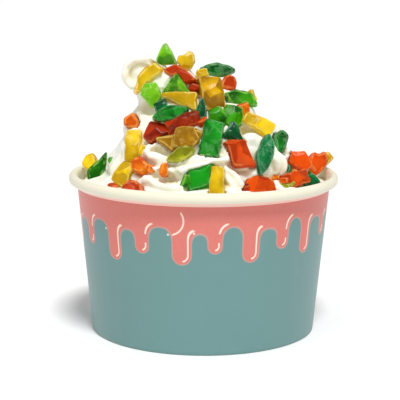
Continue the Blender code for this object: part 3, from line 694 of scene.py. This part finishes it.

# Creases where one fold lies against the next, and hollows, pressed into the skin and darkened with painted
# shade:
# width and depth in millimetres, and a line of the view in its pixels.
CREASES = (
    (1.8, 2.4, ((155, 151), (162, 152), (170, 153), (177, 152))),
    (1.0, 1.3, ((142, 157), (148, 162), (158, 165), (168, 165))),
    (1.3, 1.5, ((166, 164), (178, 164), (190, 161), (206, 159))),
    (1.3, 1.5, ((134, 181), (142, 172), (150, 171), (158, 177), (168, 181), (184, 184))),
    (2.6, 1.7, ((160, 173), (168, 177), (178, 181))),
    (0.9, 1.0, ((174, 167), (179, 175), (184, 184), (187, 190))),
    (0.9, 0.7, ((196, 171), (210, 166), (226, 164), (238, 160))),
    (1.9, 1.9, ((241, 130), (247, 130), (254, 133))),
    (0.8, 0.9, ((248, 120), (256, 123), (262, 129))),
    (1.7, 1.6, ((221, 143), (223, 153))),
    (1.5, 1.4, ((230, 165), (238, 169), (246, 171))),
    (1.0, 1.4, ((273, 151), (280, 155), (284, 163), (283, 172), (279, 179))),
    (1.0, 1.0, ((266, 177), (272, 179), (279, 179))),
    (1.0, 1.0, ((229, 174), (236, 181), (240, 190))),
    (1.7, 2.2, ((131, 79), (131, 71), (136, 66), (144, 66))),
    (3.4, 2.0, ((141, 97), (145, 105), (150, 112))),
    (1.2, 1.0, ((112, 178), (114, 168), (121, 156))),
)
CREASE_STEPS = 20
CREASE_SWELL = 0.35  # how much the cream stands up beside a crease, as a share of the crease's depth
FULL_CREASE = 2 * MM  # a crease this deep gets the darkest painted shade
skin = skin_of(mound)
crease_stops = []
for width, depth, photo_points in CREASES:
    stops = [(index, *seen_on(skin, x, y)) for index, (x, y) in enumerate(photo_points)]
    for step in range(CREASE_STEPS * (len(stops) - 1) + 1):
        crease_stops.append((width * MM, depth * MM, Vector(between(stops, step / CREASE_STEPS))))
crease_tree = KDTree(len(crease_stops))
for index, stop in enumerate(crease_stops):
    crease_tree.insert(stop[2], index)
crease_tree.balance()
# This attribute is painted shade: the cream's colour darkens near each crease, the more the deeper the crease
# is.
crease_shade = mound.data.attributes.new("crease_shade", "FLOAT", "POINT")
normals = [vert.normal.copy() for vert in mound.data.vertices]
for vert, normal in zip(mound.data.vertices, normals):
    index, away = crease_tree.find(vert.co)[1:]
    width, depth = crease_stops[index][:2]
    nearness = math.exp(-((away / width) ** 2))
    swell = CREASE_SWELL * math.exp(-((away / width - 2) ** 2))
    crease_shade.data[vert.index].value = nearness * min(1, depth / FULL_CREASE)
    vert.co -= normal * depth * (nearness - swell)

# The jellies press beds into the cream, a little below their broad faces.
PRESS_DEPTH = 1.8 * MM
PRESS_REACH = 5 * MM
PRESSINGS = 2
TOPMOST = "jelly_green_01"  # it stands on the tip and presses no bed
TOWARDS_FRONT = Vector((0, -1, 0.25)).normalized()


def outward_at(place):
    """The way out of the mound, which runs upward over its middle."""
    return Vector((place.x, place.y, 8 * MM)).normalized()


def sunk(place, way):
    """How far a point of the cream goes down to lie below the jelly that it meets along a way out."""
    hit, normal, index, distance = jelly_skin.ray_cast(place, -way, PRESS_REACH)
    if hit and normal.dot(way) > 0:
        return distance + PRESS_DEPTH
    hit, normal, index, distance = jelly_skin.ray_cast(place, way, PRESS_DEPTH)
    if hit and normal.dot(way) > 0:
        return PRESS_DEPTH - distance
    return 0


jelly_corners, jelly_faces = [], []
for node in sorted(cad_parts):
    if node.startswith("jelly_") and node != TOPMOST:
        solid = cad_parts[node].data
        first = len(jelly_corners)
        jelly_corners += [vert.co.copy() for vert in solid.vertices]
        jelly_faces += [tuple(first + index for index in face.vertices) for face in solid.polygons]
jelly_skin = BVHTree.FromPolygons(jelly_corners, jelly_faces)
for pressing in range(PRESSINGS):
    normals = [vert.normal.copy() for vert in mound.data.vertices]
    for vert, normal in zip(mound.data.vertices, normals):
        for way in (outward_at(vert.co), TOWARDS_FRONT):
            depth = sunk(vert.co, way) if normal.dot(way) >= 0 else 0
            if depth:
                vert.co -= way * depth
                break
    modified(mound, "SMOOTH", iterations=1)

# Nothing reaches into the cup's wall.
for vert in mound.data.vertices:
    limit = wall_radius(min(vert.co.z, CUP_HEIGHT)) - PAPER - GAP
    if vert.co.z > CUP_HEIGHT - LIP_HEIGHT:
        limit = INNER_RIM_RADIUS - GAP
    reach = math.hypot(vert.co.x, vert.co.y)
    if reach > limit:
        vert.co.x *= limit / reach
        vert.co.y *= limit / reach

# How shut in each point of the cream is: the share of short rays that meet cream or jelly. It paints shade
# into the cream's colour.
FEELER = 9 * MM
FEELER_START = 0.7 * MM
FEELERS = 10
FEELER_SEED = 5
mound_skin = skin_of(mound)
feeler_draw = random.Random(FEELER_SEED)
feelers = []
while len(feelers) < FEELERS:
    way = Vector([feeler_draw.uniform(-1, 1) for axis in range(3)])
    if 0.2 < way.length < 1:
        feelers.append(way.normalized())
shut_in = mound.data.attributes.new("shut_in", "FLOAT", "POINT")
normals = [vert.normal.copy() for vert in mound.data.vertices]
for vert, normal in zip(mound.data.vertices, normals):
    if vert.co.z < POOL_LEVEL - 1 * MM:
        continue
    start = vert.co + normal * FEELER_START
    met = 0
    for way in feelers:
        ahead = (way + normal * 1.02).normalized()
        if mound_skin.ray_cast(start, ahead, FEELER)[0] or jelly_skin.ray_cast(start, ahead, FEELER)[0]:
            met += 1
    shut_in.data[vert.index].value = met / FEELERS

CREAM = screen(252, 251, 236)
CREAM_SHADE = screen(230, 218, 172)
cream = Finish("soft_serve_cream", Roughness=0.38, IOR=1.4, Subsurface_Weight=0.45, Coat_Weight=0.08)
cream.shader.inputs["Subsurface Radius"].default_value = (1, 0.8, 0.6)
cream.shader.inputs["Subsurface Scale"].default_value = 1.3 * MM
# Painted shade: the cream's colour darkens towards CREAM_SHADE in concave creases, near the pressed creases
# and where short rays meet cream or jelly.
hollow = cream.node("NewGeometry", {}, {}, "Pointiness")
painted_crease_shade = cream.ramped(hollow, 0.495, 0.42)
# painted shade where the cream is shut in
deep = cream.ramped(cream.attribute("shut_in"), 0.3, 0.95)
painted_shade = painted_crease_shade * 0.4 + deep * 0.5 + cream.attribute("crease_shade") * 0.3
cream.feed("Base Color", cream.mixed(painted_shade, CREAM, CREAM_SHADE))
cream.feed("Roughness", 0.3 + cream.cloudy(3 * MM, detail=3) * 0.2)
cream.bump(cream.cloudy(1.6 * MM, detail=3, roughness=0.6) + cream.cloudy(0.5 * MM) * 0.3, 0.12 * MM, 0.6)
dress(mound, cream, "cream", "soft_serve")

# The rest of the cream, which the cup hides.
filling_profile = [
    (AXIS, BASE_TOP + GAP), (wall_radius(BASE_TOP) - PAPER - FILLING_GAP, BASE_TOP + GAP),
    (wall_radius(FILL_TOP) - PAPER - FILLING_GAP, FILL_TOP), (AXIS, FILL_TOP),
]
filling = turned("ice_cream_filling", filling_profile, ROUND_COLUMNS)
dress(filling, cream, "cream", "soft_serve")

# ---- the jellies ----
# Firm fruit jelly, chopped by hand and scattered over the swirl. It is clear enough to glow where it is thin;
# in its colour a painted glow brightens each piece's core, with a faint emission. Its whitish cut edges are
# painted highlights, and it sticks to the cream and to its neighbours.

JELLY_VOXEL = 0.26 * MM
JELLY_GROWTH = 0.2 * MM
JELLY_CUTS = 4
CUT_ATTEMPTS = 6
CUT_LEAN = (14, 34)  # degrees away from the broad face
CUT_SPREAD = 0.25  # of the turn from one cut to the next
CUT_STARTS = (0.05, 0.6)  # of the way from the face's middle to its side
CUT_SHARE = 0.5  # of the thickness, at the piece's side
TONES = (-0.5, 0.45)
FACET_POWER = 90  # how sharply a facet's tone ends where the surface turns
PLAIN_SHARE = 0.02
LIT_BELOW = 0.35  # painted light: a piece's lower part is coloured brighter, as if light came through it
FROST_ABOVE = 1.3
# The painted glow of a piece's core: how far its middle is shifted at random, and how far the glow reaches,
# as shares of the piece's half size.
CORE_SHIFT = 0.35
CORE_REACH = 1.4
WARP = 0.5 * MM
WARP_LENGTH = 4 * MM
WARP_DRIFT = 50
# Edges that get the pale painted highlight: sharp ones at a piece's sides.
SHARP = math.radians(35)
SIDEWAYS = 0.35  # a face that turns further from the broad face is a side
EDGE_SAMPLE = 0.25 * MM
CHOP_SEED = 12
WARP_SEED = 3
# Each colour has a deep, a bright and a pale shade: the deep and the bright one are its shaded and lit copies
# for the painted glow, and the pale one is for frost and the painted edge highlights.
JELLY_COLOURS = {
    "green": ((12, 92, 2), (66, 176, 4), (160, 214, 100)),
    "lime": ((50, 122, 2), (118, 192, 16), (186, 224, 120)),
    "jade": ((0, 78, 18), (20, 158, 22), (116, 178, 118)),
    "emerald": ((0, 72, 32), (10, 122, 60), (124, 182, 146)),
    "yellow": ((196, 158, 0), (246, 214, 20), (252, 236, 140)),
    "amber": ((150, 104, 0), (222, 174, 0), (240, 208, 100)),
    "orange": ((204, 82, 0), (246, 140, 0), (250, 184, 90)),
    "red": ((176, 50, 0), (232, 86, 0), (244, 150, 74)),
    "garnet": ((108, 16, 0), (190, 50, 0), (218, 110, 50)),
    "olive": ((120, 124, 0), (188, 192, 26), (216, 220, 120)),
}
# How bright a piece is against the others of its colour, and how frosted.
PLAIN_LOOK = (0, 0.15)
PIECE_LOOKS = {
    "green_01": (0.25, 0.1), "green_02": (-0.25, 0.9), "green_03": (0.35, 0.6), "green_04": (0.05, 0.7),
    "green_05": (0.1, 0.4), "green_07": (0.4, 0.4), "green_08": (0.05, 0.4), "green_09": (0, 1),
    "green_10": (0.15, 1), "green_11": (-0.15, 0), "green_12": (0.6, 0), "emerald_01": (-0.2, 0.5),
    "emerald_02": (-0.15, 0), "emerald_03": (0.3, 1), "yellow_04": (0.2, 0.1), "yellow_06": (-0.3, 0),
    "yellow_08": (0.2, 0.3), "yellow_09": (0.15, 0.1), "yellow_10": (-0.1, 0.1), "amber_01": (0, 0.1),
    "amber_02": (-0.4, 0), "amber_03": (-0.35, 0.3), "garnet_01": (0, 0.5), "garnet_02": (-0.2, 0.1),
    "red_01": (-0.15, 0), "red_02": (-0.45, 0), "red_03": (-0.1, 0), "red_04": (-0.4, 0),
    "red_05": (0.35, 0), "red_06": (0.2, 0.1), "red_08": (0.35, 0), "orange_01": (-0.35, 0),
    "orange_02": (-0.05, 0.3),
}
OTHER_GREENS = {
    "green_01": "lime", "green_03": "lime", "green_04": "lime", "green_02": "jade", "green_08": "jade",
    "green_09": "jade", "green_10": "jade", "green_12": "jade",
}
FEWER_CUTS = {"green_11": 0, "orange_01": 1, "green_09": 2, "yellow_01": 1, "green_02": 2, "amber_02": 2}
# Sides cut off along a line of the view: what lies to the right of the way from its first point to the
# second.
TRIMS = {
    "amber_01": ((196, 86), (211, 114)),
    "yellow_07": ((241, 119), (265, 137)),
}


def jelly_finish(name, deep, bright, pale):
    """Clear, coloured jelly: a painted glow in a bright core with painted shade on darker sides, a faint
    emission as painted glow, painted pale highlights on cut edges, and frosted patches.
    """
    jelly = Finish("jelly_" + name, IOR=1.38, Specular_IOR_Level=0.14, Transmission_Weight=0.3)
    jelly.shader.inputs["Subsurface Weight"].default_value = 0.4
    jelly.shader.inputs["Subsurface Scale"].default_value = 1.5 * MM
    jelly.shader.inputs["Coat Weight"].default_value = 0.09
    jelly.shader.inputs["Coat Roughness"].default_value = 0.14
    # A faint emission in the jelly's own colour: painted glow, as of light passing through.
    jelly.shader.inputs["Emission Strength"].default_value = 0.14
    painted_glow_and_tone = jelly.attribute("core") + jelly.attribute("tone") + jelly.cloudy(3.5 * MM) * 0.7
    colour = jelly.mixed(jelly.ramped(painted_glow_and_tone, 0.35, 1.1), deep, bright)
    patches = jelly.ramped(jelly.cloudy(2.5 * MM, detail=4, roughness=0.7), 0.46, 0.68)
    frost = patches * jelly.attribute("frost")
    colour = jelly.mixed(frost * 0.5, colour, pale)
    # Painted highlight: pale light along the sharp cut edges, broken into patches by noise.
    painted_edge_highlight = jelly.ramped(jelly.attribute("from_edge"), 0.55, 0.2)
    edge_highlight_patches = jelly.ramped(jelly.cloudy(2.4 * MM), 0.36, 0.56)
    colour = jelly.mixed(painted_edge_highlight * edge_highlight_patches * 0.6, colour, pale)
    jelly.feed("Base Color", colour)
    # the emission takes the colour with its painted glow
    jelly.feed("Emission Color", colour)
    jelly.feed("Roughness", 0.2 + frost * 0.35)
    jelly.bump(jelly.cloudy(1.2 * MM, detail=3, roughness=0.6), 0.15 * MM, 0.4)
    return jelly


def chopped(piece, draw, cuts=JELLY_CUTS):
    """Cut slanting facets into the broad outer face of a piece, as a knife leaves them.

    It gives each facet's slope and tone, and the broad face's normal. A piece that is left open is cut anew.
    """
    corners = [vert.co.copy() for vert in piece.data.vertices]
    middle = sum(corners, Vector()) / len(corners)
    fronts = [face for face in piece.data.polygons if face.normal.dot(outward_at(middle)) > 0.2]
    front = max(fronts, key=lambda face: face.area)
    normal = front.normal.copy()
    level = max(corner.dot(normal) for corner in corners)
    thickness = level - min(corner.dot(normal) for corner in corners)
    face_middle = middle + normal * (level - middle.dot(normal))
    across = normal.orthogonal().normalized()
    along = normal.cross(across)
    uncut = piece.data.copy()
    for attempt in range(CUT_ATTEMPTS):
        facets = []
        first = draw.uniform(0, math.tau)
        bpy.ops.object.mode_set(mode="EDIT")
        for cut in range(cuts):
            turn = first + math.tau * (cut + draw.uniform(-CUT_SPREAD, CUT_SPREAD)) / cuts
            side = across * math.cos(turn) + along * math.sin(turn)
            half = max((corner - middle).dot(side) for corner in corners)
            share = draw.uniform(*CUT_STARTS)
            start = face_middle + side * half * share
            steepest = math.atan(CUT_SHARE * thickness / (half * (1 - share)))
            lean = min(math.radians(draw.uniform(*CUT_LEAN)), steepest)
            slope = normal * math.cos(lean) + side * math.sin(lean)
            facets.append((slope, draw.uniform(*TONES)))
            bpy.ops.mesh.select_all(action="SELECT")
            bpy.ops.mesh.bisect(plane_co=start, plane_no=slope, use_fill=True, clear_outer=True)
        bpy.ops.object.mode_set(mode="OBJECT")
        sides = Counter(key for face in piece.data.polygons for key in face.edge_keys)
        if set(sides.values()) == {2}:
            return facets, normal
        piece.data = uncut.copy()
    return facets, normal


def trimmed(piece, first, last):
    """Cut off what lies to the right of a line of the view."""
    eye, first_way = sight_line(*first)
    last_way = sight_line(*last)[1]
    bpy.ops.object.mode_set(mode="EDIT")
    bpy.ops.mesh.select_all(action="SELECT")
    off = first_way.cross(last_way).normalized()
    bpy.ops.mesh.bisect(plane_co=eye, plane_no=off, use_fill=True, clear_outer=True)
    bpy.ops.object.mode_set(mode="OBJECT")


def jellied(piece, draw, facets, front, own_tone, frost):
    """Round a chopped piece's edges, as jelly's are, and note on it its core for the painted glow, its tone
    with painted light from below, its cut edges for painted highlights, and its frost.
    """
    cut_mesh = bmesh.new()
    cut_mesh.from_mesh(piece.data)
    samples = []
    for edge in cut_mesh.edges:
        at_side = min((face.normal.dot(front) for face in edge.link_faces), default=1) < SIDEWAYS
        if at_side and edge.is_manifold and edge.calc_face_angle() > SHARP:
            first, last = (vert.co.copy() for vert in edge.verts)
            count = 1 + int((last - first).length / EDGE_SAMPLE)
            samples += [first.lerp(last, step / count) for step in range(count + 1)]
    cut_mesh.free()
    edge_tree = KDTree(len(samples))
    for index, sample in enumerate(samples):
        edge_tree.insert(sample, index)
    edge_tree.balance()
    modified(piece, "REMESH", mode="VOXEL", voxel_size=JELLY_VOXEL, use_smooth_shade=True)
    modified(piece, "DISPLACE", strength=JELLY_GROWTH, mid_level=0)
    modified(piece, "SMOOTH", iterations=2)
    places = [vert.co for vert in piece.data.vertices]
    low = Vector([min(place[axis] for place in places) for axis in range(3)])
    high = Vector([max(place[axis] for place in places) for axis in range(3)])
    half = (high - low) / 2
    shift = Vector([draw.uniform(-CORE_SHIFT, CORE_SHIFT) for axis in range(3)])
    core = piece.data.attributes.new("core", "FLOAT", "POINT")
    from_edge = piece.data.attributes.new("from_edge", "FLOAT", "POINT")
    frosting = piece.data.attributes.new("frost", "FLOAT", "POINT")
    tone_and_painted_light = piece.data.attributes.new("tone", "FLOAT", "POINT")
    for index, vert in enumerate(piece.data.vertices):
        shares = [max(0, vert.normal.dot(slope)) ** FACET_POWER for slope, tone in facets]
        total = sum(shares) + max(0, vert.normal.dot(front)) ** FACET_POWER + PLAIN_SHARE
        facet_tone = sum(share * tone for share, (slope, tone) in zip(shares, facets)) / total
        # the piece's random tone and its facets' random tones, plus painted light that brightens the lower
        # part
        raised = (vert.co.z - low.z) / (high.z - low.z)
        tone_and_painted_light.data[index].value = own_tone + facet_tone + LIT_BELOW * (0.5 - raised)
        # painted glow: brightest at the shifted middle, falling off towards the sides
        away = Vector([(vert.co[axis] - low[axis]) / half[axis] - 1 for axis in range(3)]) - shift
        core.data[index].value = 1 - away.length / CORE_REACH
        from_edge.data[index].value = edge_tree.find(vert.co)[2] / MM
        frosting.data[index].value = min(1, frost * FROST_ABOVE * raised ** 0.5)
    drift = Vector([draw.uniform(0, WARP_DRIFT) for axis in range(3)])
    for vert in piece.data.vertices:
        vert.co += noise.noise_vector(vert.co / WARP_LENGTH + drift) * WARP


jelly_finishes = {}
for name, shades in JELLY_COLOURS.items():
    jelly_finishes[name] = jelly_finish(name, *(screen(*shade) for shade in shades))
chop_draw = random.Random(CHOP_SEED)
noise.seed_set(WARP_SEED)
for node in sorted(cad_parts):
    if not node.startswith("jelly_"):
        continue
    colour_name, number = node.split("_")[1:]
    piece = bpy.data.objects.new(f"{colour_name}_jelly_{number}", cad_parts[node].data.copy())
    bpy.context.scene.collection.objects.link(piece)
    bpy.ops.object.select_all(action="DESELECT")
    piece.select_set(True)
    bpy.context.view_layer.objects.active = piece
    bpy.ops.object.mode_set(mode="EDIT")
    bpy.ops.mesh.select_all(action="SELECT")
    bpy.ops.mesh.remove_doubles(threshold=WELD)
    bpy.ops.object.mode_set(mode="OBJECT")
    own_name = f"{colour_name}_{number}"
    tone, frost = PIECE_LOOKS.get(own_name, PLAIN_LOOK)
    if own_name in TRIMS:
        trimmed(piece, *TRIMS[own_name])
    cuts = FEWER_CUTS.get(own_name, JELLY_CUTS)
    jellied(piece, chop_draw, *chopped(piece, chop_draw, cuts), tone, frost)
    dress(piece, jelly_finishes[OTHER_GREENS.get(own_name, colour_name)], "jelly_" + colour_name, node)

# ---- the chips ----
# Small scraps from the same chopping that stick to the cream, and the crumbs and slivers that lie between
# the larger pieces.

CHIP_STANDS_OUT = 0.8 * MM
CHIP_DEPTH = 3 * MM
CRUMB_DEPTH = 2 * MM
CHIP_TURNS = (0.4, 0.5, 0.5)  # at most, about each axis
# Their colour, their place in the view in its pixels, and their height and width in millimetres.
CHIPS = (
    ("emerald", 161, 107, 4.6, 4.2), ("garnet", 194.5, 89, 4.0, 3.6), ("orange", 244, 109.5, 3.6, 3.4),
    ("yellow", 250.5, 97, 4.0, 3.4), ("orange", 164, 170, 4.0, 2.8), ("olive", 299, 171, 3.4, 6.0),
    ("garnet", 242, 190, 3.4, 5.0),
)
CRUMBS = (
    ("green", 309, 179, 4.4, 3.4), ("olive", 288, 187, 1.2, 6.0), ("emerald", 289, 169, 2.6, 1.4),
    ("orange", 297, 176, 2.6, 4.0), ("olive", 304, 166, 2.4, 3.4),
    ("green", 186, 182, 4.2, 2.2), ("olive", 308, 172, 2.4, 3.0), ("olive", 284, 186, 1.6, 4.0),
    ("orange", 152, 168, 2.2, 2.6), ("red", 113, 186, 1.6, 3.4), ("amber", 196, 136, 4.4, 2.6),
    ("red", 203, 122, 2.0, 3.4), ("green", 216, 131, 2.6, 2.6), ("yellow", 142, 150, 3.6, 1.6),
    ("green", 110, 160, 1.8, 1.4), ("red", 284, 181, 1.8, 3.6), ("orange", 276, 177, 1.2, 2.0),
    ("emerald", 320, 184, 1.4, 3.2), ("garnet", 158, 118, 1.4, 2.4), ("green", 200, 90, 1.6, 1.6),
)
for index, (colour_name, photo_x, photo_y, tall, wide) in enumerate(CHIPS + CRUMBS):
    is_chip = index < len(CHIPS)
    kind = "chip" if is_chip else "crumb"
    depth = CHIP_DEPTH if is_chip else CRUMB_DEPTH
    at = seen_on(mound_skin, photo_x, photo_y) - sight_line(photo_x, photo_y)[1] * CHIP_STANDS_OUT
    spin = [chop_draw.uniform(-limit, limit) for limit in CHIP_TURNS]
    bpy.ops.object.select_all(action="DESELECT")
    bpy.ops.mesh.primitive_cube_add(size=1, location=at, rotation=spin, scale=(wide * MM, depth, tall * MM))
    chip = bpy.context.object
    chip.name = chip.data.name = f"jelly_{kind}_{index + 1:02d}"
    bpy.ops.object.transform_apply(location=True, rotation=True, scale=True)
    jellied(chip, chop_draw, *chopped(chip, chop_draw), *PLAIN_LOOK)
    dress(chip, jelly_finishes[colour_name], "jelly_" + colour_name, *(["soft_serve"] if is_chip else []))

# ---- the table, the light and the camera ----
# The cup stands on a wide, pale table in a white room. A broad lamp high in front lights it, a small one from
# the left puts glints on the jellies, and the camera is where the viewer's eye is.

TABLE_SIZE = 16
TABLE_GREY = 0.95
ROOM_LIGHT = 0.42
LAMP_DISTANCE = 1.2
bpy.ops.object.select_all(action="DESELECT")
bpy.ops.mesh.primitive_plane_add(size=TABLE_SIZE, location=(0, 0, 0))
table = bpy.context.object
table.name = table.data.name = "table"
table_finish = Finish("pale_table", Roughness=0.7)
table_finish.shader.inputs["Base Color"].default_value = (TABLE_GREY, TABLE_GREY, TABLE_GREY, 1)
table.data.materials.append(table_finish.material)

world = bpy.data.worlds.new("studio")
bpy.context.scene.world = world
world.use_nodes = True
world.node_tree.nodes["Background"].inputs["Color"].default_value = (1, 1, 1, 1)
world.node_tree.nodes["Background"].inputs["Strength"].default_value = ROOM_LIGHT


def soft_lamp(name, kind, aside, elevation, **settings):
    """A light that shines at the cup. aside is its angle from the front, towards the right."""
    lamp = bpy.data.lights.new(name, kind)
    for setting, value in settings.items():
        setattr(lamp, setting, value)
    holder = bpy.data.objects.new(name, lamp)
    bpy.context.scene.collection.objects.link(holder)
    turn = Matrix.Rotation(math.radians(aside), 3, "Z") @ Matrix.Rotation(-math.radians(elevation), 3, "X")
    back = turn @ Vector((0, -1, 0))
    holder.location = Vector((0, 0, CUP_HEIGHT)) + back * LAMP_DISTANCE
    holder.rotation_euler = (-back).to_track_quat("-Z", "Y").to_euler()
    return holder


key = soft_lamp("key", "SUN", aside=12, elevation=63, energy=2.6, angle=math.radians(14))
key.visible_glossy = False
soft_lamp("glint", "AREA", aside=-30, elevation=48, energy=0.9, size=0.12)
bpy.context.scene.view_settings.view_transform = "Standard"

eye_view = bpy.data.cameras.new("camera")
eye_view.sensor_width = 36
eye_view.lens = FOCAL_PIXELS * eye_view.sensor_width / PHOTO_SIZE
eye_view.shift_x = (PHOTO_SIZE / 2 - PHOTO_CENTRE_X) / PHOTO_SIZE
camera = bpy.data.objects.new("camera", eye_view)
bpy.context.scene.collection.objects.link(camera)
tilt = Matrix.Rotation(math.pi / 2 - EYE_PITCH, 4, "X")
roll = Matrix.Rotation(EYE_ROLL, 4, "Z")
camera.matrix_world = Matrix.Translation((0, -EYE_DISTANCE, EYE_HEIGHT)) @ tilt @ roll
bpy.context.scene.camera = camera
